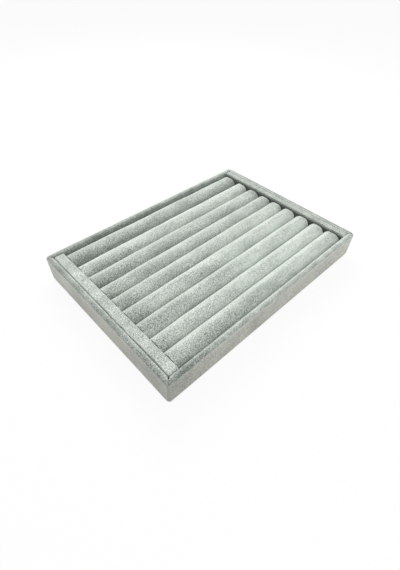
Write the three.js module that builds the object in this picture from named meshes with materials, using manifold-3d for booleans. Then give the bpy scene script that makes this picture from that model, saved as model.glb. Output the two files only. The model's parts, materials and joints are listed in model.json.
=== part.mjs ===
// Velvet ring tray: a shallow wrapped tray with a lift-out insert of padded rolls. Rings stand in the
// grooves between the rolls. Millimetres, +Z up, origin in the middle of the underside, +X along the rolls.
// The tray is sized from the inside out: rolls, then the insert that carries them, then the tray around it.
import * as THREE from "three";
import { mergeVertices } from "three/addons/utils/BufferGeometryUtils.js";
import Module from "manifold-3d";

const wasm = await Module();
wasm.setup();

// Materials in thickness
const VELVET = 1; // pile and backing
const WALL_BOARD = 3;
const BASE_BOARD = 3;
const INSERT_BOARD = 3;
const FLOOR_LINING = 0.8;
const UNDERSIDE_SHEET = 0.6;

// Padded rolls
const ROLL_COUNT = 9;
const ROLL_LENGTH = 213.6;
const ROLL_DIAMETER = 18; // as wrapped, before it is pressed in
const ROLL_SIDE_PRESS = 0.4; // what each roll loses in width between its neighbours
const ROLL_FOOT_PRESS = 0.4; // what each roll loses in height where it is glued down
const ROLL_LEFT_EDGE = 1.2; // rounding of the wrapping at the end that is tucked against the wide bar
const ROLL_RIGHT_EDGE = 2.2; // and at the open end
const ROLL_SEAM = 1.5; // slit under the roll, where the edges of its wrapping meet

// End bars of the insert
const LEFT_BAR = 9.2;
const RIGHT_BAR = 5;
const BAR_EDGE = 1.4; // rounding of the long top edges
const BAR_END_EDGE = 3; // rounding of the top edge at both ends
const BAR_DROP = 0.9; // top of the bars below the rim

// Tray
const RIM_RISE = 1; // rim above the crests of the rolls
const TURN_UNDER = 12; // width of wrapping glued under the base
const BOARD_EDGE = 0.9; // sanded outer edges of the wall boards
const BOARD_INNER_EDGE = 0.5;
const BOARD_CORNER = 1.4; // sanded upright corners of the frame
const INSIDE_CORNER = 0.3; // rounding that is left in the corners of the hollow
const UNDERSIDE_MARGIN = 4;
const UNDERSIDE_CORNER = 4;

// Clearances
const GLUE = 0.1; // glue line between two glued faces
const ROLL_GAP = 0.3; // between neighbouring rolls, and between a roll and an end bar
const INSERT_CLEARANCE = 0.6; // around the insert in the hollow of the tray
const REST_GAP = 0.1; // under the insert
const WRAP_SEAM = 0.4; // mitred seam of the wrapping at each corner
const FRAME_SEAM = 0.2; // mitred joint of the wall boards

// Facets
const ROLL_SIDES = 24;
const ARC_STEPS = 4;

// Plan, from the rolls outwards
const skin = VELVET + GLUE;
const wall = WALL_BOARD + 2 * skin;
const rollPitch = ROLL_DIAMETER - ROLL_SIDE_PRESS;
const rollRoom = ROLL_LENGTH + 2 * ROLL_GAP;
const insertWidth = ROLL_COUNT * rollPitch;
const insertLength = LEFT_BAR + rollRoom + RIGHT_BAR;
const hollowWidth = insertWidth + 2 * INSERT_CLEARANCE;
const hollowLength = insertLength + 2 * INSERT_CLEARANCE;
const trayWidth = hollowWidth + 2 * wall;
const trayLength = hollowLength + 2 * wall;

// Heights, from the underside up
const wrapBottom = UNDERSIDE_SHEET + GLUE;
const boardBottom = wrapBottom + skin;
const boardTop = boardBottom + BASE_BOARD;
const liningBottom = boardTop + GLUE;
const insertBottom = liningBottom + FLOOR_LINING + REST_GAP;
const rollFoot = INSERT_BOARD + GLUE; // from here up to barTop, heights are above the insert's underside
const rollAxis = rollFoot + ROLL_DIAMETER / 2 - ROLL_FOOT_PRESS;
const rim = insertBottom + rollAxis + ROLL_DIAMETER / 2 + RIM_RISE;
const barTop = rim - BAR_DROP - insertBottom;

const finish = (color, roughness) => new THREE.MeshStandardMaterial({ color, roughness, metalness: 0 });
const velvet = finish(0xcdd4cc, 0.95);
const fibreboard = finish(0xb08d62, 0.85);
const greyboard = finish(0x9a968e, 0.9);
const foam = finish(0xf0efe8, 1);
const felt = finish(0x6f6f6c, 1);

// A closed geometry as a solid that can be joined and cut.
function solid(geometry) {
  const bare = new THREE.BufferGeometry().setAttribute("position", geometry.getAttribute("position"));
  bare.setIndex(geometry.index);
  const merged = mergeVertices(bare);
  return new wasm.Manifold(
    new wasm.Mesh({
      numProp: 3,
      vertProperties: new Float32Array(merged.getAttribute("position").array),
      triVerts: new Uint32Array(merged.index.array),
    }),
  );
}

// A solid back as a geometry.
function geometryOf(made) {
  const { vertProperties, triVerts } = made.getMesh();
  const geometry = new THREE.BufferGeometry()
    .setAttribute("position", new THREE.BufferAttribute(vertProperties, 3))
    .setIndex(new THREE.BufferAttribute(triVerts, 1));
  geometry.computeVertexNormals();
  return geometry;
}

// A box between two heights, centred in plan.
function slab(length, width, bottom, top) {
  return new THREE.BoxGeometry(length, width, top - bottom).translate(0, 0, (bottom + top) / 2);
}

function piece(group, name, geometry, material) {
  const mesh = new THREE.Mesh(geometry, material);
  mesh.name = name;
  group.add(mesh);
  return mesh;
}

// Skins rings of points, each with as many points as the next. Open ends are capped from their middle.
function loft(rings, closed) {
  const around = rings[0].length;
  const points = rings.flat();
  const faces = [];
  const last = closed ? rings.length : rings.length - 1;
  for (let r = 0; r < last; r++) {
    for (let i = 0; i < around; i++) {
      const a = r * around + i;
      const b = r * around + ((i + 1) % around);
      const c = ((r + 1) % rings.length) * around + ((i + 1) % around);
      const d = ((r + 1) % rings.length) * around + i;
      faces.push(a, b, c, a, c, d);
    }
  }
  const cap = (r, flip) => {
    const middle = points.length;
    const ring = rings[r];
    points.push(ring.reduce((sum, p) => sum.add(p), new THREE.Vector3()).divideScalar(around));
    for (let i = 0; i < around; i++) {
      const a = r * around + i;
      const b = r * around + ((i + 1) % around);
      faces.push(middle, flip ? b : a, flip ? a : b);
    }
  };
  if (!closed) {
    cap(0, true);
    cap(rings.length - 1, false);
  }
  return new THREE.BufferGeometry().setFromPoints(points).setIndex(faces);
}

// A polyline with its corners rounded. Each corner is [x, y, radius], and the ends have no radius.
function roundedPath(corners) {
  const points = [];
  corners.forEach(([x, y, radius = 0], i) => {
    const here = new THREE.Vector2(x, y);
    if (!radius) {
      points.push(here);
      return;
    }
    const before = new THREE.Vector2(...corners[i - 1].slice(0, 2)).sub(here).normalize();
    const after = new THREE.Vector2(...corners[i + 1].slice(0, 2)).sub(here).normalize();
    const centre = here.clone().addScaledVector(before, radius).addScaledVector(after, radius);
    for (let k = 0; k <= ARC_STEPS; k++) {
      const turn = (k / ARC_STEPS) * (Math.PI / 2);
      points.push(
        centre
          .clone()
          .addScaledVector(after, -radius * Math.cos(turn))
          .addScaledVector(before, -radius * Math.sin(turn)),
      );
    }
  });
  return points;
}

// One round of the tray's plan, a distance in from its outer face: a rectangle with rounded corners.
function planLoop(inset, z) {
  const radius = Math.max(BOARD_CORNER + skin - inset, INSIDE_CORNER);
  const x = trayLength / 2 - inset - radius;
  const y = trayWidth / 2 - inset - radius;
  const centres = [
    [x, y],
    [-x, y],
    [-x, -y],
    [x, -y],
  ];
  return centres.flatMap(([cx, cy], quarter) =>
    Array.from({ length: ARC_STEPS + 1 }, (_, k) => {
      const turn = ((quarter + k / ARC_STEPS) * Math.PI) / 2;
      return new THREE.Vector3(cx + radius * Math.cos(turn), cy + radius * Math.sin(turn), z);
    }),
  );
}

// A section of [inset, height] points carried round the plan, mitred at the corners into four sides.
function mitredSides(section, seam) {
  let ring = solid(loft(section.map((p) => planLoop(p.x, p.y)), true));
  const reach = 2 * (TURN_UNDER + wall);
  for (const sx of [-1, 1]) {
    for (const sy of [-1, 1]) {
      const cut = new THREE.BoxGeometry(2 * reach, seam, 3 * rim)
        .rotateZ((sx * sy * Math.PI) / 4)
        .translate((sx * trayLength) / 2, (sy * trayWidth) / 2, rim);
      ring = ring.subtract(solid(cut));
    }
  }
  const sides = {};
  for (const part of ring.decompose()) {
    const { min, max } = part.boundingBox();
    const alongX = max[0] - min[0] > max[1] - min[1];
    const side = alongX ? (min[1] < 0 ? "front" : "back") : min[0] < 0 ? "left" : "right";
    sides[side] = geometryOf(part);
  }
  return sides;
}

// Wall board: a strip on edge, with sanded edges where the velvet turns over it.
function wallSection() {
  const outer = skin;
  const inner = skin + WALL_BOARD;
  const top = rim - skin;
  return roundedPath([
    [inner, boardBottom],
    [outer, boardBottom, BOARD_EDGE],
    [outer, top, BOARD_EDGE],
    [inner, top, BOARD_INNER_EDGE],
    [inner, (boardBottom + top) / 2],
  ]);
}

// Wrapping: from under the base, up the outer face, over the rim and down to the floor of the hollow.
function wrapSection() {
  const path = (inset) =>
    roundedPath([
      [TURN_UNDER, wrapBottom + inset],
      [inset, wrapBottom + inset, BOARD_EDGE + skin - inset],
      [inset, rim - inset, BOARD_EDGE + skin - inset],
      [wall - inset, rim - inset, BOARD_INNER_EDGE + skin - inset],
      [wall - inset, liningBottom],
    ]);
  return [...path(0), ...path(VELVET).reverse()];
}

function buildTray() {
  const tray = new THREE.Group();
  const base = hollowLength + 2 * (skin - GLUE);
  const baseWidth = hollowWidth + 2 * (skin - GLUE);
  piece(tray, "base_board", slab(base, baseWidth, boardBottom, boardTop), fibreboard);

  const walls = mitredSides(wallSection(), FRAME_SEAM);
  const wraps = mitredSides(wrapSection(), WRAP_SEAM);
  for (const side of ["front", "back", "left", "right"]) {
    piece(tray, `wall_${side}`, walls[side], fibreboard);
    piece(tray, `wrap_${side}`, wraps[side], velvet);
  }

  const lining = slab(
    hollowLength - 2 * GLUE,
    hollowWidth - 2 * GLUE,
    liningBottom,
    liningBottom + FLOOR_LINING,
  );
  piece(tray, "floor_lining", lining, velvet);

  const x = trayLength / 2 - UNDERSIDE_MARGIN;
  const y = trayWidth / 2 - UNDERSIDE_MARGIN;
  const r = UNDERSIDE_CORNER;
  const sheet = new THREE.Shape()
    .absarc(x - r, y - r, r, 0, Math.PI / 2)
    .absarc(-x + r, y - r, r, Math.PI / 2, Math.PI)
    .absarc(-x + r, -y + r, r, Math.PI, 1.5 * Math.PI)
    .absarc(x - r, -y + r, r, 1.5 * Math.PI, 2 * Math.PI);
  const flat = { depth: UNDERSIDE_SHEET, bevelEnabled: false, curveSegments: ARC_STEPS };
  piece(tray, "underside_sheet", new THREE.ExtrudeGeometry(sheet, flat), felt);
  return tray;
}

// A roll along X about its own axis, drawn in all over by an inset: 0 is its outer face. It is flat at
// the sides, where neighbours press on it, and underneath. Its ends are square, or rounded by an edge.
function rollForm(inset, leftEdge = 0, rightEdge = 0) {
  const radius = ROLL_DIAMETER / 2 - inset;
  const halfWidth = (rollPitch - ROLL_GAP) / 2 - inset;
  const foot = ROLL_DIAMETER / 2 - ROLL_FOOT_PRESS - inset;
  const end = ROLL_LENGTH / 2 - inset;
  const ring = (x, shrink) =>
    Array.from({ length: ROLL_SIDES }, (_, i) => {
      const turn = (i / ROLL_SIDES) * 2 * Math.PI;
      const y = THREE.MathUtils.clamp(radius * Math.sin(turn), -halfWidth, halfWidth);
      const z = Math.max(radius * Math.cos(turn), -foot);
      return new THREE.Vector3(x, -y, z).multiply(new THREE.Vector3(1, shrink, shrink));
    });
  const rounding = (edge) =>
    Array.from({ length: edge ? ARC_STEPS + 1 : 1 }, (_, k) => {
      const turn = (k / ARC_STEPS) * (Math.PI / 2);
      return [end - edge * (1 - Math.cos(turn)), 1 - (edge / radius) * (1 - Math.sin(turn))];
    });
  const left = rounding(leftEdge).map(([x, shrink]) => ring(-x, shrink));
  const right = rounding(rightEdge).map(([x, shrink]) => ring(x, shrink));
  return loft([...left, ...right.reverse()], false);
}

// The velvet sleeve of a roll, open along the slit underneath.
function sleeveForm() {
  const slit = new THREE.BoxGeometry(ROLL_LENGTH - 2 * ROLL_RIGHT_EDGE, ROLL_SEAM, ROLL_DIAMETER);
  slit.translate(0, 0, -ROLL_DIAMETER / 2);
  const outside = solid(rollForm(0, ROLL_LEFT_EDGE, ROLL_RIGHT_EDGE));
  return geometryOf(outside.subtract(solid(rollForm(VELVET))).subtract(solid(slit)));
}

// A strip along Y with rounded top edges, also at its two ends. Its top is at z = height.
function barForm(width, length, height, edge, endEdge, foot = 0) {
  const outline = (span, radius) =>
    new THREE.Shape(
      roundedPath([
        [-span / 2, foot],
        [span / 2, foot],
        [span / 2, height, radius],
        [-span / 2, height, radius],
        [-span / 2, foot],
      ]),
    );
  const across = new THREE.ExtrudeGeometry(outline(width, edge), { depth: length, bevelEnabled: false });
  across.translate(0, 0, -length / 2).rotateX(Math.PI / 2);
  const along = new THREE.ExtrudeGeometry(outline(length, endEdge), { depth: width, bevelEnabled: false });
  along.translate(0, 0, -width / 2).rotateX(Math.PI / 2).rotateZ(Math.PI / 2);
  return solid(across).intersect(solid(along));
}

// An end bar: a wooden strip in a velvet cover that is open underneath.
function buildBar(insert, name, width, x) {
  const drawnIn = (inset, foot) =>
    barForm(
      width - 2 * inset,
      insertWidth - 2 * inset,
      barTop - rollFoot - inset,
      BAR_EDGE - inset,
      BAR_END_EDGE - inset,
      foot,
    );
  const cover = drawnIn(0).subtract(drawnIn(VELVET, -VELVET));
  piece(insert, `${name}_core`, geometryOf(drawnIn(skin)), fibreboard).position.set(x, 0, rollFoot);
  piece(insert, `${name}_cover`, geometryOf(cover), velvet).position.set(x, 0, rollFoot);
}

function buildInsert() {
  const insert = new THREE.Group();
  insert.position.z = insertBottom;
  piece(insert, "insert_board", slab(insertLength, insertWidth, 0, INSERT_BOARD), greyboard);
  buildBar(insert, "left_bar", LEFT_BAR, (LEFT_BAR - insertLength) / 2);
  buildBar(insert, "right_bar", RIGHT_BAR, (insertLength - RIGHT_BAR) / 2);

  const sleeve = sleeveForm();
  const core = rollForm(skin);
  const middle = (LEFT_BAR - RIGHT_BAR) / 2;
  for (let i = 0; i < ROLL_COUNT; i++) {
    const y = ((ROLL_COUNT - 1) / 2 - i) * rollPitch;
    piece(insert, `roll_core_${i + 1}`, core, foam).position.set(middle, y, rollAxis);
    piece(insert, `roll_sleeve_${i + 1}`, sleeve, velvet).position.set(middle, y, rollAxis);
  }
  return insert;
}

const ringTray = new THREE.Group();
ringTray.add(buildTray(), buildInsert());

export default ringTray;
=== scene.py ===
# %% [markdown]
# # A velvet ring tray, dressed in Blender
#
# The tray is a shallow box of thin board with grey velvet glued over it. Inside lies a loose insert: nine
# soft rolls side by side, with a wide velvet bar at their left end and a narrow one at their right end.
# The boards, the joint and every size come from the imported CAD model. This lesson makes what the eye
# meets: the velvet, how it turns over the rim, how the corners are mitred, and how the rolls swell.

# %% Load the frame
import json
import math

import bmesh
import bpy
from mathutils import Matrix, Vector


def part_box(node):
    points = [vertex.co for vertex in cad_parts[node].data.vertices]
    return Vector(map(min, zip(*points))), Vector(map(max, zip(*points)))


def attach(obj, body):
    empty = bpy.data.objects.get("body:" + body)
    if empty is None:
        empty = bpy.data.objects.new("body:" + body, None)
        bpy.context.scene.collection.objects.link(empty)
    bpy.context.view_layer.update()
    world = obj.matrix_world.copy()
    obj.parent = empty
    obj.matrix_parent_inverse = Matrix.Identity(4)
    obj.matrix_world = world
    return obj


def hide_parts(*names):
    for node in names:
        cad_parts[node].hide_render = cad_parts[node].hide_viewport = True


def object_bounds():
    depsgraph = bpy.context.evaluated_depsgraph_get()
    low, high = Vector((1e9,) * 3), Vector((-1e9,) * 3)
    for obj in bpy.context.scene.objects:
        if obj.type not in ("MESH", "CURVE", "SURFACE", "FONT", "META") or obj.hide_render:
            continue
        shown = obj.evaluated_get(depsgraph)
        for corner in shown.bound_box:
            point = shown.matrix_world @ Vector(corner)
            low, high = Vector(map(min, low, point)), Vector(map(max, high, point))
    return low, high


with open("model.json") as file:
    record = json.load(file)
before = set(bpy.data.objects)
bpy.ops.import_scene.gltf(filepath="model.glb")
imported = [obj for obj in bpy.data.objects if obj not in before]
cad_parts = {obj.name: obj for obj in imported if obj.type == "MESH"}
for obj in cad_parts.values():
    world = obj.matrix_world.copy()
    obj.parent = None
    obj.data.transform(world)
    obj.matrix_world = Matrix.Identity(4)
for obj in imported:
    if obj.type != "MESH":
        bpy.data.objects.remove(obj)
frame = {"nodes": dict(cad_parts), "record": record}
cad_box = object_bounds()
tray_low, tray_high = cad_box
print("CAD box in mm:", [round(side * 1000, 1) for side in tray_high - tray_low])

# %% [markdown]
# ## Camera
# The camera stands where the photograph was taken from: over the front left corner, close to the tray,
# so the lens is wide and the near corner looks large. It could be placed by eye, but a tray is a plain box
# and its outline gives angle, roll and distance, so these are written down.

# %% Camera
CAMERA_AZIMUTH = math.radians(-44.94)
CAMERA_ELEVATION = math.radians(46.84)
CAMERA_ROLL = math.radians(2.04)
CAMERA_PLACE = Vector((-0.18355, -0.17554, 0.24227))
LENS_MM = 22.24

bpy.ops.object.select_all(action="DESELECT")
bpy.ops.object.camera_add(location=CAMERA_PLACE)
camera = bpy.context.object
camera.name = "camera"
heading = Matrix.Rotation(CAMERA_AZIMUTH, 3, "Z")
tilt = Matrix.Rotation(math.pi / 2 - CAMERA_ELEVATION, 3, "X")
camera.rotation_euler = (heading @ tilt @ Matrix.Rotation(CAMERA_ROLL, 3, "Z")).to_euler()
camera.data.lens = LENS_MM
bpy.context.scene.camera = camera
print("camera stands", round(CAMERA_PLACE.length * 1000), "mm from the middle of the tray's underside")

# %% [markdown]
# ## Helpers for working as by hand
# Operators act on whatever is selected, so every piece starts from an empty selection. `pick` selects
# vertices, edges or faces by a test on their place, which stands in for clicking on them.

# %% Helpers for selecting
SAME_PLACE = 1e-6


def fresh_start():
    """Deselects everything, so that the next operator acts on the new piece alone."""
    if bpy.context.object and bpy.context.object.mode == "EDIT":
        bpy.ops.object.mode_set(mode="OBJECT")
    bpy.ops.object.select_all(action="DESELECT")


def take_up(piece):
    """Makes one piece the selected and active one."""
    fresh_start()
    piece.select_set(True)
    bpy.context.view_layer.objects.active = piece


def name_it(name):
    """Names the primitive that was just added and puts its place and size into its mesh."""
    piece = bpy.context.object
    piece.name = name
    piece.data.name = name
    bpy.ops.object.transform_apply(location=True, rotation=True, scale=True)
    return piece


def pick(piece, kind, test):
    """Selects what passes a test, in edit mode."""
    bpy.ops.mesh.select_mode(type=kind)
    bpy.ops.mesh.select_all(action="DESELECT")
    cage = bmesh.from_edit_mesh(piece.data)
    for part in {"VERT": cage.verts, "EDGE": cage.edges, "FACE": cage.faces}[kind]:
        if test(part):
            part.select_set(True)
    bmesh.update_edit_mesh(piece.data)


print("places closer than", SAME_PLACE, "m count as the same")

# %% [markdown]
# Cloth is never quite even. Two soft noises move the meshes later on: one with lumps of a few centimetres,
# for the way padding swells, and one with lumps of a few millimetres, for the clumps of the pile. `settle`
# applies a modifier at once, so that what follows works on its result. `ramp` and `falloff` give soft
# changes from one value to another, where a plain limit would leave a hard line on the cloth.

# %% Helpers for shaping
def settle(piece, kind, **settings):
    """Adds a modifier, sets it and applies it."""
    take_up(piece)
    modifier = piece.modifiers.new(kind.lower(), kind)
    for key, value in settings.items():
        setattr(modifier, key, value)
    bpy.ops.object.modifier_apply(modifier=modifier.name)


def cloud(name, size, depth=2):
    """A soft noise for the Displace modifier, with lumps of that size in metres."""
    texture = bpy.data.textures.new(name, "CLOUDS")
    texture.noise_scale = size
    texture.noise_depth = depth
    return texture


def smooth(piece):
    take_up(piece)
    bpy.ops.object.shade_smooth()


def ramp(value, start, end):
    """0 before start, 1 after end, and a soft rise between them."""
    share = min(1.0, max(0.0, (value - start) / (end - start)))
    return share * share * (3 - 2 * share)


def falloff(distance, reach):
    """1 at no distance, and softly down to 0 at the reach."""
    return 1 - ramp(distance, 0, reach)


def extent(piece):
    """The size of a mesh along X, Y and Z."""
    places = [v.co for v in piece.data.vertices]
    return [max(place[k] for place in places) - min(place[k] for place in places) for k in range(3)]


unevenness = cloud("unevenness", size=0.028)
pile_clumps = cloud("pile_clumps", size=0.0022, depth=3)
print("noises:", unevenness.name, pile_clumps.name)

# %% [markdown]
# ## Shared shader groups
# Velvet is a carpet of fine upright threads. From a step away it shows three things: a fleck, where
# neighbouring tufts lean in different directions, soft darker patches where it was stroked, and a pale
# line along every edge that turns away, where the light catches the tips. It could be grown as hair, but so
# many threads would be too heavy to carry along. So the first two are one node group that all velvets
# share, and the pale line is the sheen of the shader, which stays in each material.

# %% Node helpers
NOISE_ROUGHNESS = 0.6


def socket(group, name, direction, kind="NodeSocketFloat", value=None):
    made = group.interface.new_socket(name, in_out=direction, socket_type=kind)
    if value is not None:
        made.default_value = value


def wire(tree, start, end):
    tree.links.new(start, end)


def set_or_wire(tree, value, end):
    """Gives a socket a number, or another node's output."""
    if isinstance(value, (int, float)):
        end.default_value = value
    else:
        wire(tree, value, end)


def noise_node(tree, vector, scale, detail, spread=0.2):
    """A noise from -1 to 1, sharper with less spread, its scale another node's output."""
    noise = tree.nodes.new("ShaderNodeTexNoise")
    noise.inputs["Detail"].default_value = detail
    noise.inputs["Roughness"].default_value = NOISE_ROUGHNESS
    wire(tree, vector, noise.inputs["Vector"])
    wire(tree, scale, noise.inputs["Scale"])
    level = tree.nodes.new("ShaderNodeMapRange")
    level.inputs["From Min"].default_value = 0.5 - spread
    level.inputs["From Max"].default_value = 0.5 + spread
    level.inputs["To Min"].default_value = -1.0
    level.inputs["To Max"].default_value = 1.0
    wire(tree, noise.outputs["Fac"], level.inputs["Value"])
    return level.outputs["Result"]


def sum_node(tree, first, second, weight):
    """first + second * weight, where first and weight are numbers or other nodes' outputs."""
    node = tree.nodes.new("ShaderNodeMath")
    node.operation = "MULTIPLY_ADD"
    wire(tree, second, node.inputs[0])
    set_or_wire(tree, weight, node.inputs[1])
    set_or_wire(tree, first, node.inputs[2])
    return node.outputs[0]


print("noises run from -1 to 1")

# %% Pile group
TUFT_COARSENESS = 0.4
TUFT_WEIGHT = 0.25
FLECK_SPREAD = 0.15
MIDDLE_TONE = 0.5


def make_pile_group():
    group = bpy.data.node_groups.new("velvet_pile", "ShaderNodeTree")
    socket(group, "Vector", "INPUT", "NodeSocketVector")
    socket(group, "Patch Vector", "INPUT", "NodeSocketVector")
    socket(group, "Fleck Scale", "INPUT", value=900)
    socket(group, "Fleck", "INPUT", value=0.3)
    socket(group, "Patch Scale", "INPUT", value=40)
    socket(group, "Patch", "INPUT", value=0.2)
    socket(group, "Tone", "OUTPUT")
    socket(group, "Height", "OUTPUT")
    entry = group.nodes.new("NodeGroupInput").outputs
    leave = group.nodes.new("NodeGroupOutput").inputs
    coarser = group.nodes.new("ShaderNodeMath")
    coarser.operation = "MULTIPLY"
    coarser.inputs[1].default_value = TUFT_COARSENESS
    wire(group, entry["Fleck Scale"], coarser.inputs[0])
    fine = noise_node(group, entry["Vector"], entry["Fleck Scale"], 2.0, spread=FLECK_SPREAD)
    tufts = noise_node(group, entry["Vector"], coarser.outputs[0], 3.0)
    patches = noise_node(group, entry["Patch Vector"], entry["Patch Scale"], 2.0)
    fleck = sum_node(group, fine, tufts, TUFT_WEIGHT)
    tone = sum_node(group, MIDDLE_TONE, fleck, entry["Fleck"])
    wire(group, sum_node(group, tone, patches, entry["Patch"]), leave["Tone"])
    wire(group, fleck, leave["Height"])
    return group


pile = make_pile_group()
pile_outputs = [item.name for item in pile.interface.items_tree if item.in_out == "OUTPUT"]
print("group", pile.name, "puts out", pile_outputs)

# %% [markdown]
# ## Velvet
# One function makes every velvet of the tray. The tone of the pile group runs between a dark colour, the
# depth of the pile, and a light one, its tips. Velvet also looks paler or darker by the way its pile was
# last brushed, and light and shade are painted into the colour too: pale slopes where light grazes the
# pile, and painted shade on slopes that turn from the lamp, at the ends and in gaps. The mesh knows where
# its slopes and ends are, so each mesh carries both, brushed tone and painted light and shade, as one
# attribute, which is added to the tone. Where it is very low, the cloth lies deep in a gap and gets a dark
# painted shade. Roughness is high, because cloth has no gloss, and the sheen does what threads do at a
# glancing angle. The bump is slight: the lumps of the pile are in the mesh.

# %% Material helpers
def new_material(name):
    material = bpy.data.materials.new(name)
    material.use_nodes = True
    shader = material.node_tree.nodes["Principled BSDF"]
    return material, material.node_tree, shader


def object_vector(tree, stretch=(1, 1, 1)):
    """Object coordinates in metres, stretched where a pattern has a direction."""
    place = tree.nodes.new("ShaderNodeTexCoord")
    mapping = tree.nodes.new("ShaderNodeMapping")
    mapping.inputs["Scale"].default_value = stretch
    wire(tree, place.outputs["Object"], mapping.inputs["Vector"])
    return mapping.outputs["Vector"]


def mesh_value(tree, name):
    """A value that the mesh carries at each of its vertices."""
    attribute = tree.nodes.new("ShaderNodeAttribute")
    attribute.attribute_name = name
    return attribute.outputs["Fac"]


def place_pile(tree, stretch=(1, 1, 1), **values):
    """The pile group, its patches stretched along the way the cloth was stroked."""
    node = tree.nodes.new("ShaderNodeGroup")
    node.node_tree = pile
    wire(tree, object_vector(tree), node.inputs["Vector"])
    wire(tree, object_vector(tree, stretch), node.inputs["Patch Vector"])
    for key, value in values.items():
        node.inputs[key.replace("_", " ")].default_value = value
    return node


def two_tones(tree, tone, dark, light):
    mix = tree.nodes.new("ShaderNodeMix")
    mix.data_type = "RGBA"
    mix.inputs["A"].default_value = (*dark, 1)
    mix.inputs["B"].default_value = (*light, 1)
    wire(tree, tone, mix.inputs["Factor"])
    return mix.outputs["Result"]


def bump(tree, height, shader, strength, distance):
    node = tree.nodes.new("ShaderNodeBump")
    node.inputs["Strength"].default_value = strength
    node.inputs["Distance"].default_value = distance
    wire(tree, height, node.inputs["Height"])
    wire(tree, node.outputs["Normal"], shader.inputs["Normal"])


print("materials start from", len(pile_outputs), "outputs of the pile")

# %% Velvet material
# Painted shade in gaps: as the attribute falls through this range, the colour darkens to this share.
GAP_SHADE_NAP = (-1.0, -0.5)
GAP_SHADE_DARKEST = 0.25
SHEEN_TINT = (0.93, 1.0, 0.93, 1)


def paint_gap_shade(tree, colour, nap_and_shade):
    """Paints shade into a colour where the attribute says that the cloth lies in a deep gap."""
    depth = tree.nodes.new("ShaderNodeMapRange")
    depth.inputs["From Min"].default_value = GAP_SHADE_NAP[0]
    depth.inputs["From Max"].default_value = GAP_SHADE_NAP[1]
    depth.inputs["To Min"].default_value = GAP_SHADE_DARKEST
    wire(tree, nap_and_shade, depth.inputs["Value"])
    darker = tree.nodes.new("ShaderNodeMix")
    darker.data_type = "RGBA"
    darker.blend_type = "MULTIPLY"
    darker.inputs["Factor"].default_value = 1.0
    wire(tree, colour, darker.inputs["A"])
    wire(tree, depth.outputs["Result"], darker.inputs["B"])
    return darker.outputs["Result"]


def make_velvet(name, dark, light, stretch, sheen, **pile_values):
    material, tree, shader = new_material(name)
    threads = place_pile(tree, stretch, **pile_values)
    # The attribute holds brushed tone together with painted light and shade; it is added to the tone.
    nap_and_shade = mesh_value(tree, "nap_and_shade")
    tone = sum_node(tree, threads.outputs["Tone"], nap_and_shade, 1.0)
    colour = paint_gap_shade(tree, two_tones(tree, tone, dark, light), nap_and_shade)
    wire(tree, colour, shader.inputs["Base Color"])
    bump(tree, threads.outputs["Height"], shader, strength=0.12, distance=0.0003)
    shader.inputs["Roughness"].default_value = 0.92
    shader.inputs["Specular IOR Level"].default_value = 0.15
    shader.inputs["Sheen Weight"].default_value = sheen
    shader.inputs["Sheen Roughness"].default_value = 0.6
    shader.inputs["Sheen Tint"].default_value = SHEEN_TINT
    return material


roll_velvet = make_velvet(
    "roll_velvet", dark=(0.14, 0.156, 0.144), light=(0.82, 0.888, 0.824),
    stretch=(0.35, 1, 1), sheen=1.0, Fleck_Scale=1400, Fleck=0.41, Patch_Scale=75, Patch=0.15,
)
floor_velvet = make_velvet(
    "floor_velvet", dark=(0.26, 0.285, 0.265), light=(0.66, 0.71, 0.66),
    stretch=(1, 1, 1), sheen=0.4, Fleck_Scale=1250, Fleck=0.34, Patch_Scale=40, Patch=0.2,
)
print("velvets:", roll_velvet.name, floor_velvet.name)

# %% [markdown]
# The velvet of the tray itself is the same cloth, but on the outer walls it was pressed flat and looks like
# smooth, warmer felt, and on the rim it was stretched over the edge, so dark gaps show between the tufts.
# Two materials would meet in a hard line, so it is one, and the mesh says which is which: its attribute
# `pressed` is 1 on the outer walls and 0 on the rim.

# %% Tray velvet
def make_tray_velvet():
    material = make_velvet(
        "tray_velvet", dark=(0.14, 0.157, 0.147), light=(0.69, 0.75, 0.69),
        stretch=(1, 1, 1), sheen=0.6, Fleck_Scale=1200, Fleck=0.4, Patch_Scale=80, Patch=0.16,
    )
    tree = material.node_tree
    shader = tree.nodes["Principled BSDF"]
    rim_colour = shader.inputs["Base Color"].links[0].from_socket
    smooth_pile = place_pile(tree, Fleck_Scale=1300, Fleck=0.44, Patch_Scale=25, Patch=0.22)
    # The walls carry the same attribute, brushed tone with painted light and shade, added to their tone.
    wall_tone = sum_node(tree, smooth_pile.outputs["Tone"], mesh_value(tree, "nap_and_shade"), 1.0)
    wall_colour = two_tones(tree, wall_tone, dark=(0.16, 0.155, 0.136), light=(0.66, 0.643, 0.58))
    choice = tree.nodes.new("ShaderNodeMix")
    choice.data_type = "RGBA"
    wire(tree, mesh_value(tree, "pressed"), choice.inputs["Factor"])
    wire(tree, rim_colour, choice.inputs["A"])
    wire(tree, wall_colour, choice.inputs["B"])
    wire(tree, choice.outputs["Result"], shader.inputs["Base Color"])
    return material


tray_velvet = make_tray_velvet()
print("velvet:", tray_velvet.name)

# %% [markdown]
# ## Felt, boards and foam
# What is hidden is finished too, because the insert lifts out and the tray can be turned over. Felt is a
# matted cloth with no pile, fibreboard has a fine brown fibre, grey board is pressed from old paper with
# specks in it, and foam is full of small cells. All four are specked and matt, so one function with the
# shared pile group makes them.

# %% Hidden materials
def make_specked(name, dark, light, roughness, scale, stretch=(1, 1, 1), height=0.0002):
    material, tree, shader = new_material(name)
    fibres = place_pile(tree, stretch, Fleck_Scale=scale, Fleck=0.35, Patch_Scale=50, Patch=0.2)
    wire(tree, two_tones(tree, fibres.outputs["Tone"], dark, light), shader.inputs["Base Color"])
    bump(tree, fibres.outputs["Height"], shader, strength=0.4, distance=height)
    shader.inputs["Roughness"].default_value = roughness
    return material


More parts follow.
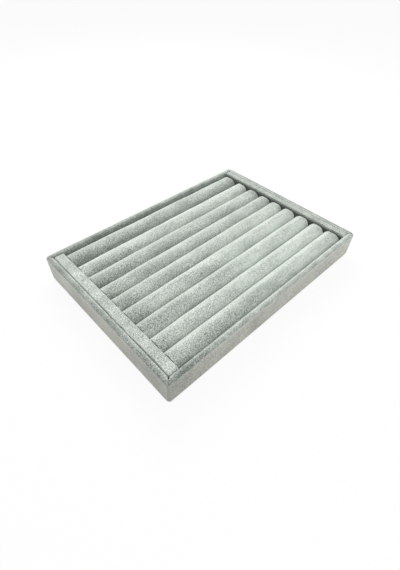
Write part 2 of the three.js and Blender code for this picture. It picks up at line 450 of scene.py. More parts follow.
hidden_finishes = {
    "fibreboard": make_specked(
        "fibreboard", dark=(0.30, 0.18, 0.085), light=(0.50, 0.33, 0.17),
        roughness=0.8, scale=1600, stretch=(1, 1, 0.3),
    ),
    "greyboard": make_specked(
        "greyboard", dark=(0.22, 0.205, 0.185), light=(0.40, 0.38, 0.345), roughness=0.85, scale=1100
    ),
    "foam": make_specked(
        "foam", dark=(0.70, 0.69, 0.63), light=(0.90, 0.89, 0.84),
        roughness=0.95, scale=2200, height=0.0004,
    ),
    "underside_felt": make_specked(
        "underside_felt", dark=(0.10, 0.10, 0.10), light=(0.21, 0.21, 0.205), roughness=0.98, scale=1500
    ),
}
for part in frame["record"]["subparts"]:
    finish = hidden_finishes.get(part["material_slot"])
    if finish:
        node = frame["nodes"][part["node"]]
        node.data.materials.clear()
        node.data.materials.append(finish)
print("boards, felt and foam have", len(hidden_finishes), "finishes")

# %% [markdown]
# ## Padded rolls
# A roll is a foam rod in a velvet sleeve, glued down along its foot and pressed between its neighbours. It
# could be a cylinder with flattened sides, but then every section would be the same. Instead the sleeve is
# a slightly thin tube that is blown up by a cloth simulation between two stops that stand in for the
# neighbours, with its foot pinned to the board. It swells, its ends bulge and the sides flatten by
# themselves. Cloth settings suit things of furniture size, so the simulation runs at ten times the size.
# The rolls stop short of the right bar, which leaves a dark gap before it.

# %% Sleeve before it is blown up
ROLL_COUNT = 9
SLEEVE_SIDES = 44
RING_STEP = 0.0017
CAP_RINGS = 3
GROWN = 10
THIN_SHARE = 0.485
LEFT_END_EDGE = 0.0004
RIGHT_END_EDGE = 0.0012
RIGHT_END_GAP = Vector((0.0028, 0, 0))
sleeve_low, sleeve_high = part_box("roll_sleeve_1")
roll_length = sleeve_high.x - sleeve_low.x
roll_width = sleeve_high.y - sleeve_low.y
roll_height = sleeve_high.z - sleeve_low.z
roll_middle = (sleeve_low + sleeve_high) / 2
thin_radius = THIN_SHARE * roll_height * GROWN
half_length = (roll_length - RIGHT_END_GAP.x) / 2 * GROWN


def sew_sleeve():
    """A closed tube at ten times the size, with rounded ends and even rings."""
    fresh_start()
    bpy.ops.mesh.primitive_cylinder_add(
        vertices=SLEEVE_SIDES, radius=thin_radius, depth=2 * half_length, rotation=(0, math.pi / 2, 0)
    )
    sleeve = name_it("ring_roll_1")
    bpy.ops.object.mode_set(mode="EDIT")
    for end, edge_size in ((-half_length, LEFT_END_EDGE), (half_length, RIGHT_END_EDGE)):
        pick(sleeve, "EDGE", lambda edge: all(abs(v.co.x - end) < SAME_PLACE for v in edge.verts))
        bpy.ops.mesh.bevel(offset=edge_size * GROWN, segments=3, affect="EDGES")
    pick(sleeve, "EDGE", lambda edge: abs(edge.verts[0].co.x - edge.verts[1].co.x) > half_length)
    bpy.ops.mesh.subdivide(number_cuts=round(roll_length / RING_STEP))
    pick(sleeve, "FACE", lambda face: abs(face.normal.x) > 0.99)
    for _ in range(CAP_RINGS):
        bpy.ops.mesh.inset(thickness=RING_STEP * GROWN)
    bpy.ops.mesh.poke()
    bpy.ops.object.mode_set(mode="OBJECT")
    return sleeve


sleeve = sew_sleeve()
print("sleeve:", len(sleeve.data.vertices), "vertices")

# %% Blow up the sleeve
PRESSURE = 4
SIMULATED_FRAMES = 20
CLOTH_GAP = 0.001
FOOT_DEPTH = 0.94
FOOT_LENGTH = 0.98


def add_stop(side):
    """A stiff sheet, somewhat larger than the roll, where a neighbouring roll presses."""
    fresh_start()
    bpy.ops.mesh.primitive_grid_add(
        x_subdivisions=80, y_subdivisions=8, size=1, location=(0, side * roll_width / 2 * GROWN, 0),
        rotation=(side * math.pi / 2, 0, 0),
    )
    stop = bpy.context.object
    stop.scale = (2.2 * half_length, 3 * thin_radius, 1)
    stop.modifiers.new("stop", "COLLISION")
    stop.collision.thickness_outer = CLOTH_GAP
    return stop


def is_glued(place):
    return place.z < -FOOT_DEPTH * thin_radius and abs(place.x) < FOOT_LENGTH * half_length


def blow_up(piece):
    stops = [add_stop(side) for side in (-1, 1)]
    take_up(piece)
    foot = piece.vertex_groups.new(name="foot")
    foot.add([v.index for v in piece.data.vertices if is_glued(v.co)], 1.0, "REPLACE")
    modifier = piece.modifiers.new("sleeve", "CLOTH")
    cloth = modifier.settings
    cloth.quality = 6
    cloth.mass = 0.3
    cloth.use_pressure = True
    cloth.uniform_pressure_force = PRESSURE
    cloth.effector_weights.gravity = 0
    cloth.bending_stiffness = 0.5
    cloth.vertex_group_mass = "foot"
    modifier.collision_settings.distance_min = CLOTH_GAP
    for number in range(1, SIMULATED_FRAMES + 1):
        bpy.context.scene.frame_set(number)
    bpy.ops.object.modifier_apply(modifier=modifier.name)
    piece.vertex_groups.clear()
    bpy.context.scene.frame_set(1)
    fresh_start()
    for stop in stops:
        stop.select_set(True)
    bpy.ops.object.delete()


blow_up(sleeve)
print("sleeve as blown up, in mm:", [round(side / GROWN * 1000, 2) for side in extent(sleeve)])

# %% [markdown]
# The sleeve goes back to its real size and into the room that the CAD roll has. How far the simulation may
# carry it is capped that way: its crest, foot and sides lie where the solid's do. Its bulging ends are
# pressed flat. At the right end the crest sinks, because the cloth is drawn down over the edge of the foam
# there. One subdivision then rounds it off.

# %% Sleeve at its real size
LEFT_END_REACH = Vector((0.00025, 0, 0))
CREST_SINKS_OVER = 0.004
CREST_SINKS_BY = 0.0022


def fit_between(piece, low, high, axes="xyz"):
    """Scales a mesh along the named axes so that its box runs from low to high."""
    for k in ["xyz".index(axis) for axis in axes]:
        values = [v.co[k] for v in piece.data.vertices]
        least, most = min(values), max(values)
        for v in piece.data.vertices:
            v.co[k] = low[k] + (v.co[k] - least) / (most - least) * (high[k] - low[k])


def square_ends(piece, low, high):
    """Puts a grown roll in its place along X and presses its bulging ends flat."""
    middle = (low.x + high.x) / 2
    for v in piece.data.vertices:
        v.co.x = min(high.x, max(low.x, middle + v.co.x / GROWN))


def sink_crest(piece, right):
    """Lowers the crest towards the right end in a quarter of an oval."""
    for v in piece.data.vertices:
        share = min(1.0, max(0.0, 1 - (right - v.co.x) / CREST_SINKS_OVER))
        v.co.z = min(v.co.z, sleeve_high.z - CREST_SINKS_BY * (1 - math.sqrt(1 - share * share)))


square_ends(sleeve, sleeve_low - LEFT_END_REACH, sleeve_high - RIGHT_END_GAP)
fit_between(sleeve, sleeve_low, sleeve_high, axes="yz")
sink_crest(sleeve, sleeve_high.x - RIGHT_END_GAP.x)
settle(sleeve, "SUBSURF", levels=1, render_levels=1)
print("sleeve in mm:", [round(side * 1000, 2) for side in extent(sleeve)])

# %% [markdown]
# The nine rolls are this sleeve and eight copies of it. An array would set them in an even row, but on the
# real tray they were glued down by hand: each lies a little off its even place, often further off at one
# end than at the other, and the ones in front are fuller. Where two rolls meet, both are pressed flat on
# the line between them. The first and the last roll have free room before them and bulge into it.

# %% Set nine rolls
OFF_LEFT = (0.0006, -0.0017, -0.0017, -0.0015, -0.0004, 0.0009, 0.0008, 0.0008, 0.0021)
OFF_RIGHT = (0.0008, -0.0016, -0.0014, -0.0008, 0.0009, 0.0015, 0.0016, 0.0011, 0.0019)
ROLL_RISE = (0.0, 0.0, 0.0, 0.0, 0.0, 0.0004, 0.0004, 0.0004, 0.0007)
FRONT_BULGE = {1: 0.0018, 9: 0.0018}
PRESS_GAP = 0.0002
row_pitch = sleeve_low.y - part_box("roll_sleeve_2")[0].y


def between_ends(x, left, right):
    """A value that changes evenly from a roll's left end to its right end."""
    return left + (right - left) * (x - sleeve_low.x) / roll_length


def glued_off(number, x):
    """How far off its even row a roll was glued, at a place along it."""
    return between_ends(x, OFF_LEFT[number - 1], OFF_RIGHT[number - 1])


def row_line(number, x):
    """Where the middle of a roll lies across the tray, at a place along it."""
    return roll_middle.y - (number - 1) * row_pitch + glued_off(number, x)


def set_off(piece, number):
    """Moves a roll off its even row and plumps it up as much as it is fuller than the others."""
    for v in piece.data.vertices:
        v.co.y += glued_off(number, v.co.x)
        v.co.z += ROLL_RISE[number - 1] * (v.co.z - sleeve_low.z) / roll_height


def press_sides(piece, number):
    """Lets a roll bulge into free room before it, or flattens its sides against its neighbours."""
    bulge = FRONT_BULGE.get(number, 0)
    for v in piece.data.vertices:
        line = row_line(number, v.co.x)
        if bulge and v.co.y < line:
            v.co.y -= bulge * (line - v.co.y) / (roll_width / 2)
        elif number < ROLL_COUNT:
            v.co.y = max(v.co.y, (line + row_line(number + 1, v.co.x)) / 2 + PRESS_GAP)
        if number > 1:
            v.co.y = min(v.co.y, (line + row_line(number - 1, v.co.x)) / 2 - PRESS_GAP)


rolls = [sleeve]
for number in range(2, ROLL_COUNT + 1):
    take_up(sleeve)
    bpy.ops.object.duplicate(linked=False)
    bpy.ops.transform.translate(value=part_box(f"roll_sleeve_{number}")[0] - sleeve_low)
    rolls.append(name_it(f"ring_roll_{number}"))
for number, roll in enumerate(rolls, start=1):
    set_off(roll, number)
    press_sides(roll, number)
print(len(rolls), "rolls of", len(sleeve.data.polygons), "faces each")

# %% [markdown]
# Two displacements now make each roll its own: a wide one swells its crown here more and there less, and a
# fine one lifts the clumps of the pile. Copies could be shaped by hand, but both are noises in space, so no
# two rolls come out alike by themselves.

# %% Swell the rolls
CROWN_SWELL = 0.0008
PILE_DEPTH = 0.00009


def crown_group(piece, middle, reach):
    """Weights from 0 at mid height to 1 at the crest, for what may move only the crown."""
    group = piece.vertex_groups.new(name="crown")
    for v in piece.data.vertices:
        group.add([v.index], min(1.0, max(0.0, (v.co.z - middle) / reach)), "REPLACE")


def swell(piece, strength):
    """Moves the crown in and out unevenly, as far as its weights let it."""
    settle(
        piece, "DISPLACE", texture=unevenness, texture_coords="LOCAL", strength=strength,
        vertex_group="crown",
    )


def give_pile(piece):
    settle(piece, "DISPLACE", texture=pile_clumps, texture_coords="LOCAL", strength=PILE_DEPTH)


for roll in rolls:
    crown_group(roll, roll_middle.z, roll_height / 3)
    swell(roll, CROWN_SWELL)
    give_pile(roll)
    roll.vertex_groups.clear()
print("heights of the rolls in mm:", [round(extent(roll)[2] * 1000, 2) for roll in rolls])

# %% [markdown]
# Then the nap is written, with light and shade painted into it. The pile of each roll was stroked a little
# differently, so every roll has its own tone at both ends. Painted on top of that are a pale back slope,
# where the lamp behind and the sheen catch it, painted shade on the front slope, lifted by painted light
# towards the right on some rolls, and painted shade at its ends. The normals of the mesh say which slope a
# vertex lies on, so no picture is needed.

# %% Brush and shade the rolls
NAP_LEFT = (-0.08, 0.08, -0.10, -0.05, -0.07, -0.03, -0.13, -0.05, -0.06)
NAP_RIGHT = (-0.09, 0.10, -0.10, -0.05, -0.01, -0.01, -0.04, 0.04, -0.04)
# Painted light: the back slope of each roll is made paler, as if lit from behind with sheen.
BACK_SLOPE_LIGHT = 0.5
BACK_LIGHT_ENDS = (0.6, 0.95)
# Painted shade on each front slope, painted light where negative, and painted light lifting its right half.
FRONT_SLOPE_SHADES = (0.35, 0.18, 0.14, 0.16, 0.14, 0.04, -0.1, -0.02, 0.1)
FRONT_SLOPE_LIGHTS = (0.0, 0.0, 0.1, 0.05, 0.25, 0.2, 0.22, 0.18, 0.0)
FRONT_LIGHT_ENDS = (-0.02, 0.02)
# Painted shade at the ends of the rolls, at the left bar and at the right end.
END_SHADE = 0.8
LEFT_SHADE = 0.1
LEFT_SHADE_REACH = 0.03
RIGHT_SHADE = 0.2
RIGHT_SHADE_REACH = 0.012


def set_nap_and_shade(piece, value_at):
    """Writes how dark or pale the pile looks at each vertex: brushed tone and painted light and shade."""
    nap_and_shade = piece.data.attributes.new("nap_and_shade", "FLOAT", "POINT")
    for v in piece.data.vertices:
        nap_and_shade.data[v.index].value = value_at(v.co, v.normal)


def roll_tone_and_light(number):
    """The brushed tone of a roll with painted light and shade, from place and normal."""

    def value_at(place, normal):
        shade = between_ends(place.x, NAP_LEFT[number - 1], NAP_RIGHT[number - 1])
        back_light = BACK_SLOPE_LIGHT * (1 - ramp(normal.y, *BACK_LIGHT_ENDS))
        front_light = FRONT_SLOPE_LIGHTS[number - 1] * ramp(place.x, *FRONT_LIGHT_ENDS)
        front_shade = FRONT_SLOPE_SHADES[number - 1] - front_light
        # Painted light on the back slope, painted shade on the front slope.
        slope_light_and_shade = (back_light if normal.y > 0 else front_shade) * normal.y
        # Painted shade at the ends.
        end = END_SHADE * abs(normal.x) ** 3
        end += LEFT_SHADE * falloff(place.x - sleeve_low.x, LEFT_SHADE_REACH)
        end += RIGHT_SHADE * falloff(sleeve_high.x - RIGHT_END_GAP.x - place.x, RIGHT_SHADE_REACH)
        return shade + slope_light_and_shade - end

    return value_at


for number, roll in enumerate(rolls, start=1):
    set_nap_and_shade(roll, roll_tone_and_light(number))
    roll.data.materials.append(roll_velvet)
    smooth(roll)
print(len(rolls), "rolls are brushed")

# %% [markdown]
# The foam rods inside cannot be seen, but they are part of each roll and lie where it lies. A cylinder with
# rounded ends at the size of the CAD rod is enough.

# %% Foam rods
ROD_SIDES = 32
ROD_EDGE = 0.0006
ROD_ROOM = Vector((0, 0.0012, 0))
ROD_SMOOTH_ANGLE = math.radians(35)


def runs_across(edge):
    """True for an edge whose two ends lie at the same X."""
    return abs(edge.verts[0].co.x - edge.verts[1].co.x) < SAME_PLACE


def pad_roll(number):
    low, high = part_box(f"roll_core_{number}")
    high -= RIGHT_END_GAP
    size = high - low - ROD_ROOM
    fresh_start()
    bpy.ops.mesh.primitive_cylinder_add(
        vertices=ROD_SIDES, radius=0.5, depth=1, location=(low + high) / 2, rotation=(0, math.pi / 2, 0)
    )
    bpy.context.object.scale = (size.z, size.y, size.x)
    rod = name_it(f"foam_rod_{number}")
    bpy.ops.object.mode_set(mode="EDIT")
    pick(rod, "EDGE", runs_across)
    bpy.ops.mesh.bevel(offset=ROD_EDGE, segments=2, affect="EDGES")
    bpy.ops.object.mode_set(mode="OBJECT")
    set_off(rod, number)
    rod.data.materials.append(hidden_finishes["foam"])
    take_up(rod)
    bpy.ops.object.shade_smooth_by_angle(angle=ROD_SMOOTH_ANGLE)
    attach(rod, "insert")
    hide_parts(f"roll_core_{number}")
    return rod


rods = [pad_roll(number) for number in range(1, ROLL_COUNT + 1)]
print(len(rods), "foam rods of", len(rods[0].data.polygons), "faces")

# %% Rolls take the place of the sleeves
for number, roll in enumerate(rolls, start=1):
    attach(roll, "insert")
    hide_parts(f"roll_sleeve_{number}")
print("rolls ride on the insert")

# %% [markdown]
# ## End bars
# The bars are wooden strips covered with the same velvet as the rolls. A bevelled box would look machined.
# Here a cube at the size of the bar has its top edges bevelled, most at its front end, where the cloth is
# folded over. A remesh then gives it even small faces, so that the pile can lift them, and a light
# smoothing takes off the last sharp edge. The outer side of the left bar is uneven, where the cloth was
# tucked down beside the wall. The right bar is a little wider and taller than its strip, nearly flush with
# the rim, and darker all over. Shade is painted onto the side of a bar beside the rolls, the darker the
# deeper it lies, and onto the left bar's side by the wall; the right bar's edge by the wall gets painted
# light.

# %% Wear, nap and painted shade of a bar
BAR_WEAR_REACH = 0.002
# Painted shade on the side of a bar that faces the rolls, growing with depth below its top.
BAR_INNER_SHADE = 1.0
BAR_TOP_DEPTH = (0.0012, 0.0042)
waves = cloud("waves", size=0.012)


def wear_outer_side(bar, outer, depth):
    """Presses the side that faces the wall in, more in some places than in others."""
    inwards = -math.copysign(depth, outer)
    group = bar.vertex_groups.new(name="outer")
    for v in bar.data.vertices:
        group.add([v.index], falloff(abs(v.co.x - outer), BAR_WEAR_REACH), "REPLACE")
    settle(
        bar, "DISPLACE", texture=waves, texture_coords="LOCAL", direction="X", strength=inwards,
        mid_level=0.25, vertex_group="outer",
    )


def bar_tone_and_shade(shade, outer, outer_shade, top):
    """Tone of a bar: even on top, painted shade or light by its wall, painted shade deep beside the rolls.
    """

    def value_at(place, normal):
        faces_rolls = normal.x * outer < -0.5 * abs(outer)
        # Painted shade beside the rolls, darker the deeper it lies.
        inner_shade = BAR_INNER_SHADE * ramp(top - place.z, *BAR_TOP_DEPTH)
        side_shade = inner_shade if faces_rolls else outer_shade
        return shade - side_shade * (1 - max(0.0, normal.z))

    return value_at


print("noise:", waves.name)

# %% Shape of a bar
BAR_EDGE = 0.0007
BAR_FRONT_EDGE = 0.0028
BAR_BACK_EDGE = 0.0008
BAR_END_REACH = 0.0004
BAR_FACES = 0.0006


def bar_room(node, side_reach, inner_reach, rise):
    """The box of a bar: between the end walls, and a little further to its wall and to the rolls."""
    low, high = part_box(node)
    high.z += rise
    low.y -= BAR_END_REACH
    high.y += BAR_END_REACH
    if low.x < 0:
        low.x -= side_reach
        high.x += inner_reach
    else:
        low.x -= inner_reach
        high.x += side_reach
    return low, high


def shape_bar(name, low, high):
    """A cube of that size with rounded upper edges and even small faces."""
    fresh_start()
    bpy.ops.mesh.primitive_cube_add(size=1, location=(low + high) / 2, scale=high - low)
    bar = name_it(name)
    under_top = high.z - SAME_PLACE
    above_foot = low.z + SAME_PLACE

    def ends_at(edge, end):
        return all(v.co.z > under_top and abs(v.co.y - end) < SAME_PLACE for v in edge.verts)

    def is_upper(edge):
        return all(v.co.z > above_foot for v in edge.verts) and runs_across(edge)

    bpy.ops.object.mode_set(mode="EDIT")
    for end, edge_size in ((low.y, BAR_FRONT_EDGE), (high.y, BAR_BACK_EDGE)):
        pick(bar, "EDGE", lambda edge: ends_at(edge, end))
        bpy.ops.mesh.bevel(offset=edge_size, segments=5, affect="EDGES")
    pick(bar, "EDGE", is_upper)
    bpy.ops.mesh.bevel(offset=BAR_EDGE, segments=4, affect="EDGES")
    bpy.ops.object.mode_set(mode="OBJECT")
    settle(bar, "REMESH", mode="VOXEL", voxel_size=BAR_FACES)
    settle(bar, "SMOOTH", factor=0.5, iterations=2)
    fit_between(bar, low, high)
    return bar


print("bars get faces of", BAR_FACES * 1000, "mm")

# %% Cover the bars
BAR_SWELL = 0.0004


def cover_bar(name, node, side_reach, inner_reach, rise, wear, shade, outer_shade):
    low, high = bar_room(node, side_reach, inner_reach, rise)
    outer = low.x if low.x < 0 else high.x
    bar = shape_bar(name, low, high)
    crown_group(bar, low.z, high.z - low.z)
    swell(bar, BAR_SWELL)
    wear_outer_side(bar, outer, wear)
    give_pile(bar)
    bar.vertex_groups.clear()
    set_nap_and_shade(bar, bar_tone_and_shade(shade, outer, outer_shade, high.z))
    bar.data.materials.append(roll_velvet)
    smooth(bar)
    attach(bar, "insert")
    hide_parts(node)
    return bar


# outer_shade paints shade on the left bar's side by the wall and light on the right bar's edge there.
bars = [
    cover_bar(
        "left_bar_velvet", "left_bar_cover", side_reach=0.0004, inner_reach=0.0, rise=0.0,
        wear=0.0014, shade=0.0, outer_shade=0.3,
    ),
    cover_bar(
        "right_bar_velvet", "right_bar_cover", side_reach=0.0005, inner_reach=0.0008, rise=0.0006,
        wear=0.0001, shade=-0.2, outer_shade=-0.3,
    ),
]
print("bars:", [len(bar.data.polygons) for bar in bars], "faces")

# %% [markdown]
# ## Wrapping of the walls
# Each wall is wrapped in one strip of velvet: it starts under the base, comes up the outside, turns over
# the rim and runs down to the floor of the hollow. A profile swept round the tray would have no seams. So
# a strip starts flat, as it was cut, as a grid with small faces. Its rows are then laid along the section
# of the wall, so the cloth keeps its size, and each row ends on the mitre, the slanting line on which two
# strips meet at a corner. The right wall's inner edge is folded sharply, close to the bar beside it.

# %% Section of the wrapping
TURN_UNDER = 0.012
WALL = 0.0052
OUTER_FOLD = 0.002
INNER_FOLD = {"front": 0.0016, "back": 0.0016, "left": 0.0016, "right": 0.0005}
FOLD_STEPS = 6
half_tray = Vector((tray_high.x, tray_high.y))
wrap_low, wrap_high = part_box("wrap_front")
rim = wrap_high.z
wrap_foot = wrap_low.z
hollow_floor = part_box("floor_lining")[0].z


def rounded(corners):
    """A path through [inset, height, radius] corners, with each corner rounded by a quarter turn."""
    path = []
    for k, (x, z, radius) in enumerate(corners):
        here = Vector((x, z))
        if not radius:
            path.append(here)
            continue
        before = (Vector(corners[k - 1][:2]) - here).normalized()
        after = (Vector(corners[k + 1][:2]) - here).normalized()
        centre = here + (before + after) * radius
        for step in range(FOLD_STEPS + 1):
            angle = step / FOLD_STEPS * math.pi / 2
            path.append(centre - after * (radius * math.cos(angle)) - before * (radius * math.sin(angle)))
    return path


def wrap_path(side):
    """The section of a wall, from the turned-under edge to the floor of the hollow."""
    return rounded(
        [
            (TURN_UNDER, wrap_foot, 0),
            (0, wrap_foot, OUTER_FOLD),
            (0, rim, OUTER_FOLD),
            (WALL, rim, INNER_FOLD[side]),
            (WALL, hollow_floor, 0),
        ]
    )


def length_of(path):
    return sum((b - a).length for a, b in zip(path, path[1:]))


wrap_paths = {side: wrap_path(side) for side in INNER_FOLD}
girths = {side: length_of(path) for side, path in wrap_paths.items()}
girths_mm = {side: round(girth * 1000, 1) for side, girth in girths.items()}
print("velvet runs round the walls, in mm:", girths_mm)

# %% [markdown]
# Three small things make a glued corner look real. The upright corners are rounded, so points near them
# move from the square onto a circle. Along the mitre the two edges dip in, which leaves a fine dark seam.
# And where the seam crosses the outer edge of the rim, the cloth is nipped in to a small dimple.

# %% Corners and seams of the wrapping
CORNER_RADIUS = 0.0025
SEAM_GAP = 0.0003
SEAM_DIP = 0.0006
SEAM_REACH = 0.0016
NIP_INSET = 0.0006
NIP_DIP = 0.0009
NIP_REACH = 0.0022
END_CROWDING = 0.65


def along(path, distance):
    """The point that lies that far along a path, and the direction from there into the wall."""
    for a, b in zip(path, path[1:]):
        step = (b - a).length
        if distance <= step or b is path[-1]:
            run = (b - a) / step
            return a + run * min(distance, step), Vector((run.y, -run.x))
        distance -= step


def crowded(share):
    """Moves columns, at -1 to 1, closer together towards both ends, where the seams need small faces."""
    return share + END_CROWDING * (0.5 * share - 0.5 * share**3)


def round_corner(x, y):
    """A point near an upright corner, moved from the square outline onto the rounded one."""
    dx = abs(x) - (half_tray.x - CORNER_RADIUS)
    dy = abs(y) - (half_tray.y - CORNER_RADIUS)
    if dx <= 0 or dy <= 0:
        return x, y
    pull = max(dx, dy) / math.hypot(dx, dy)
    return (
        math.copysign(half_tray.x - CORNER_RADIUS + dx * pull, x),
        math.copysign(half_tray.y - CORNER_RADIUS + dy * pull, y),
    )


def lay_on_wall(path, flat_x, flat_y, side_half):
    """Where a point of the flat strip comes to lie: how far along the wall, and in from its face and up."""
    section, inwards = along(path, flat_y)
    reach = side_half - section.x - SEAM_GAP / 2
    place = crowded(flat_x) * reach
    from_seam = side_half - section.x - abs(place)
    dip = SEAM_DIP * falloff(from_seam, SEAM_REACH)
    from_nip = Vector((from_seam, section.x - NIP_INSET, section.y - rim + NIP_INSET)).length
    dip += NIP_DIP * falloff(from_nip, NIP_REACH)
    return place, section + inwards * dip


print("corners have a radius of", CORNER_RADIUS * 1000, "mm")

# %% [markdown]
# The pile of the wrapping was brushed too: each rim has its own tone and slants from one side of the rim
# to the other. Light and shade are painted on as well: painted shade on the inside of a wall, so it is
# darker than its rim, painted light on the outside, palest just under the rim, and painted shade towards
# the front left corner. The right wall's inside gets painted light instead of shade.

# %% Nap, painted light and painted shade of the wrapping
RIM_NAP = {"front": 0.17, "back": -0.14, "left": -0.08, "right": -0.1}
RIM_SLANT = {"front": 0.4, "back": -0.1, "left": 0.3, "right": 0.4}
RIM_SLANT_ENDS = (0.4 * WALL, 0.9 * WALL)
# Painted shade inside each wall; the right wall's negative value paints light there instead.
INNER_SHADE = {"front": 0.15, "back": 0.15, "left": 0.15, "right": -0.2}
WALL_NAP = {"front": -0.04, "back": -0.04, "left": -0.05, "right": -0.04}
# Painted light on the outer wall just under the rim.
WALL_TOP_LIGHT = 0.32
WALL_TOP_LIGHT_REACH = 0.007
# Painted shade towards the front left corner, on the rim and on the wall.
CORNER_SHADE = {"front": 0.36, "back": 0.0, "left": 0.0, "right": 0.0}
WALL_CORNER_SHADE = {"front": 0.2, "back": 0.0, "left": 0.06, "right": 0.0}
CORNER_SHADE_REACH = 0.07
PRESSED_FROM = 0.0008
PRESSED_TO = 0.0034


def pressed_flat(section):
    """1 on the outer wall and 0 on the rim and inside, with a soft change over the outer edge."""
    if section.x < OUTER_FOLD:
        return ramp(rim - section.y, PRESSED_FROM, PRESSED_TO)
    return 0.0


def wall_tone_and_light(side, section, x, y, pressed):
    """Tone of a strip with painted light and shade, across the rim, down the wall and near the corner."""
    below_rim = rim - section.y
    across = RIM_SLANT[side] * (ramp(section.x, *RIM_SLANT_ENDS) - 0.5)
    # Painted shade inside the wall and towards the front left corner.
    inside = INNER_SHADE[side] * ramp(below_rim, 0, INNER_FOLD[side]) if section.x > OUTER_FOLD else 0.0
    near = falloff(math.hypot(x + half_tray.x, y + half_tray.y), CORNER_SHADE_REACH)
    on_rim = RIM_NAP[side] + across - inside - CORNER_SHADE[side] * near
    # Painted light on the wall just under the rim.
    top = WALL_TOP_LIGHT * falloff(below_rim, WALL_TOP_LIGHT_REACH)
    on_wall = WALL_NAP[side] + top - WALL_CORNER_SHADE[side] * near
    return on_rim + (on_wall - on_rim) * pressed


print("nap of the rims:", RIM_NAP)

# %% Wrap the walls
ROW_STEP = 0.0009
COLUMN_STEP = 0.0011
SIDES = {
    "front": (0, -1),
    "back": (0, 1),
    "left": (-1, 0),
    "right": (1, 0),
}


def wrap_wall(side):
    sx, sy = SIDES[side]
    side_half = half_tray.x if sy else half_tray.y
    across_half = half_tray.y if sy else half_tray.x
    columns = round(2 * side_half / COLUMN_STEP)
    rows = round(girths[side] / ROW_STEP)
    fresh_start()
    bpy.ops.mesh.primitive_grid_add(x_subdivisions=columns, y_subdivisions=rows, size=2)
    strip = name_it(f"{side}_wall_velvet")
    pressed = strip.data.attributes.new("pressed", "FLOAT", "POINT")
    # One value at each vertex for the brushed tone and the painted light and shade of the strip.
    nap_and_shade = strip.data.attributes.new("nap_and_shade", "FLOAT", "POINT")
    for v in strip.data.vertices:
        flat_y = (v.co.y + 1) / 2 * girths[side]
        place, section = lay_on_wall(wrap_paths[side], v.co.x, flat_y, side_half)
        out = across_half - section.x
        x, y = (place, sy * out) if sy else (sx * out, place)
        v.co = (*round_corner(x, y), section.y)
        flat = pressed_flat(section)
        pressed.data[v.index].value = flat
        nap_and_shade.data[v.index].value = wall_tone_and_light(side, section, x, y, flat)
    return strip


wraps = {side: wrap_wall(side) for side in SIDES}
print({side: len(strip.data.polygons) for side, strip in wraps.items()}, "faces")

# %% [markdown]
# A strip is still a sheet without thickness. Its faces are turned outwards first, then Solidify grows the
# cloth inwards to its one millimetre, and Displace lifts the pile.

# %% Thickness and pile of the wrapping
VELVET = 0.001
for side, strip in wraps.items():
    take_up(strip)
    sx, sy = SIDES[side]
    outer = max(strip.data.polygons, key=lambda face: face.center.x * sx + face.center.y * sy)
    if outer.normal.x * sx + outer.normal.y * sy < 0:
        bpy.ops.object.mode_set(mode="EDIT")
        bpy.ops.mesh.select_all(action="SELECT")
        bpy.ops.mesh.flip_normals()
        bpy.ops.object.mode_set(mode="OBJECT")
    settle(strip, "SOLIDIFY", thickness=VELVET, offset=-1)
    give_pile(strip)
    strip.data.materials.append(tray_velvet)
    smooth(strip)
    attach(strip, "tray")
    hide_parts(f"wrap_{side}")
print("walls are wrapped")

# %% [markdown]
# ## Lining and underside
# The floor of the hollow is lined with velvet, and a sheet of felt covers the cut edges under the tray.
# Both are plain sheets that lie flat. A cloth simulation would give the same, so a flat grid with a
# thickness is enough. The felt has rounded corners, which a bevel of its corner vertices gives.

# %% Floor lining
LINING_COLUMNS = 90
LINING_ROWS = 64
LINING_WAVES = 0.0002
LINING_THICKNESS = 0.0006


def lay_lining():
    low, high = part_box("floor_lining")
    fresh_start()
    bpy.ops.mesh.primitive_grid_add(
        x_subdivisions=LINING_COLUMNS, y_subdivisions=LINING_ROWS, size=1,
        location=(*((low + high) / 2).xy, high.z),
    )
    bpy.context.object.scale = (high.x - low.x, high.y - low.y, 1)
    lining = name_it("floor_velvet_sheet")
    settle(
        lining, "DISPLACE", texture=unevenness, texture_coords="LOCAL", strength=LINING_WAVES, mid_level=1.0
    )
    settle(lining, "SOLIDIFY", thickness=LINING_THICKNESS, offset=-1)
    lining.data.materials.append(floor_velvet)
    smooth(lining)
    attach(lining, "tray")
    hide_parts("floor_lining")
    return lining


lining = lay_lining()
print("lining:", len(lining.data.polygons), "faces")

# %% Underside felt
FELT_CORNER = 0.004
FELT_EDGE = 0.0002
FELT_SHARP_ANGLE = 1.2


def lay_felt():
    low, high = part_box("underside_sheet")
    fresh_start()
    bpy.ops.mesh.primitive_plane_add(size=1, location=(*((low + high) / 2).xy, low.z))
    bpy.context.object.scale = (high.x - low.x, high.y - low.y, 1)
    felt = name_it("underside_felt_sheet")
    bpy.ops.object.mode_set(mode="EDIT")
    bpy.ops.mesh.select_all(action="SELECT")
    bpy.ops.mesh.bevel(offset=FELT_CORNER, segments=8, affect="VERTICES")
    bpy.ops.mesh.extrude_region_move(TRANSFORM_OT_translate={"value": (0, 0, high.z - low.z)})
    bpy.ops.mesh.select_all(action="SELECT")
    bpy.ops.mesh.normals_make_consistent(inside=False)
    pick(felt, "EDGE", lambda edge: edge.is_manifold and edge.calc_face_angle() > FELT_SHARP_ANGLE)
    bpy.ops.mesh.bevel(offset=FELT_EDGE, segments=2, affect="EDGES")
    bpy.ops.object.mode_set(mode="OBJECT")
    felt.data.materials.append(hidden_finishes["underside_felt"])
    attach(felt, "tray")
    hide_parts("underside_sheet")
    return felt


felt = lay_felt()
print("felt:", len(felt.data.polygons), "faces")

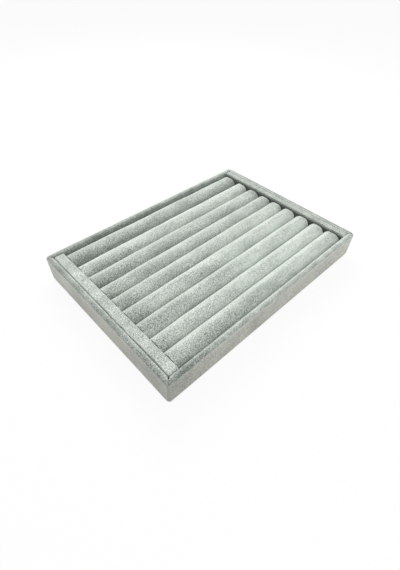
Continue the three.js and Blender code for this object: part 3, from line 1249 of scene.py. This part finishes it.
# %% [markdown]
# ## Studio
# Soft light comes from above and behind, so the far slope of every roll is pale and its near slope grey.
# One large lamp behind the tray does that, a weaker one in front keeps the near walls from going dull, and
# the world fills the shade. The floor is white paper. To the camera it is mostly a white glow, so that it
# stays white, but part of it is still lit, so that the tray's shadow shows on it. It lies a hair below the
# felt, because two faces at the same height would show through each other.

# %% Floor
PAPER_WHITE = (0.9, 0.9, 0.9, 1)
PAPER_GLOW = 0.91
FLOOR_GAP = 0.0002


def math_node(tree, operation, first, second):
    node = tree.nodes.new("ShaderNodeMath")
    node.operation = operation
    wire(tree, first, node.inputs[0])
    set_or_wire(tree, second, node.inputs[1])
    return node.outputs[0]


def white_to_camera(tree, lit, glow, share):
    """Mixes a lit shader with a white glow that only the camera, mirrors and glass see."""
    path = tree.nodes.new("ShaderNodeLightPath").outputs
    seen = math_node(tree, "MAXIMUM", path["Is Camera Ray"], path["Is Glossy Ray"])
    seen = math_node(tree, "MAXIMUM", seen, path["Is Transmission Ray"])
    mixed = tree.nodes.new("ShaderNodeMixShader")
    wire(tree, math_node(tree, "MULTIPLY", seen, share), mixed.inputs["Fac"])
    wire(tree, lit, mixed.inputs[1])
    wire(tree, glow, mixed.inputs[2])
    return mixed.outputs["Shader"]


def make_paper():
    material, tree, shader = new_material("white_paper")
    shader.inputs["Base Color"].default_value = PAPER_WHITE
    shader.inputs["Roughness"].default_value = 0.9
    glow = tree.nodes.new("ShaderNodeEmission").outputs["Emission"]
    mixed = white_to_camera(tree, shader.outputs["BSDF"], glow, PAPER_GLOW)
    wire(tree, mixed, tree.nodes["Material Output"].inputs["Surface"])
    return material


fresh_start()
bpy.ops.mesh.primitive_plane_add(size=8, location=(0, 0, tray_low.z - FLOOR_GAP))
floor = name_it("studio_floor")
floor.data.materials.append(make_paper())
print("floor lies", FLOOR_GAP * 1000, "mm below the felt")

# %% World
WORLD_FILL = 0.59

world = bpy.data.worlds.new("studio_world")
world.use_nodes = True
bpy.context.scene.world = world
sky_tree = world.node_tree
sky = sky_tree.nodes["Background"]
sky.inputs["Color"].default_value = (1.0, 1.0, 0.99, 1)
sky.inputs["Strength"].default_value = WORLD_FILL
white = sky_tree.nodes.new("ShaderNodeBackground")
white.inputs["Color"].default_value = (1, 1, 1, 1)
seen_sky = white_to_camera(sky_tree, sky.outputs["Background"], white.outputs["Background"], 1.0)
wire(sky_tree, seen_sky, sky_tree.nodes["World Output"].inputs["Surface"])
print("world fills with", WORLD_FILL)

# %% Lamps
KEY_PLACE = Vector((0.34, 0.45, 0.62))
KEY_SIZE = 0.5
KEY_WATTS = 4.3
FILL_PLACE = Vector((-0.22, -0.65, 0.85))
FILL_SIZE = 0.7
FILL_WATTS = 2.5


def add_lamp(name, place, size, watts):
    """A square soft lamp that shines at the middle of the tray."""
    fresh_start()
    bpy.ops.object.light_add(type="AREA", location=place)
    lamp = bpy.context.object
    lamp.name = name
    lamp.data.size = size
    lamp.data.energy = watts
    lamp.rotation_euler = place.to_track_quat("Z", "Y").to_euler()
    print(name, "stands", round(place.length, 2), "m away")


add_lamp("key_lamp", KEY_PLACE, KEY_SIZE, KEY_WATTS)
add_lamp("fill_lamp", FILL_PLACE, FILL_SIZE, FILL_WATTS)
bpy.context.scene.view_settings.view_transform = "Standard"
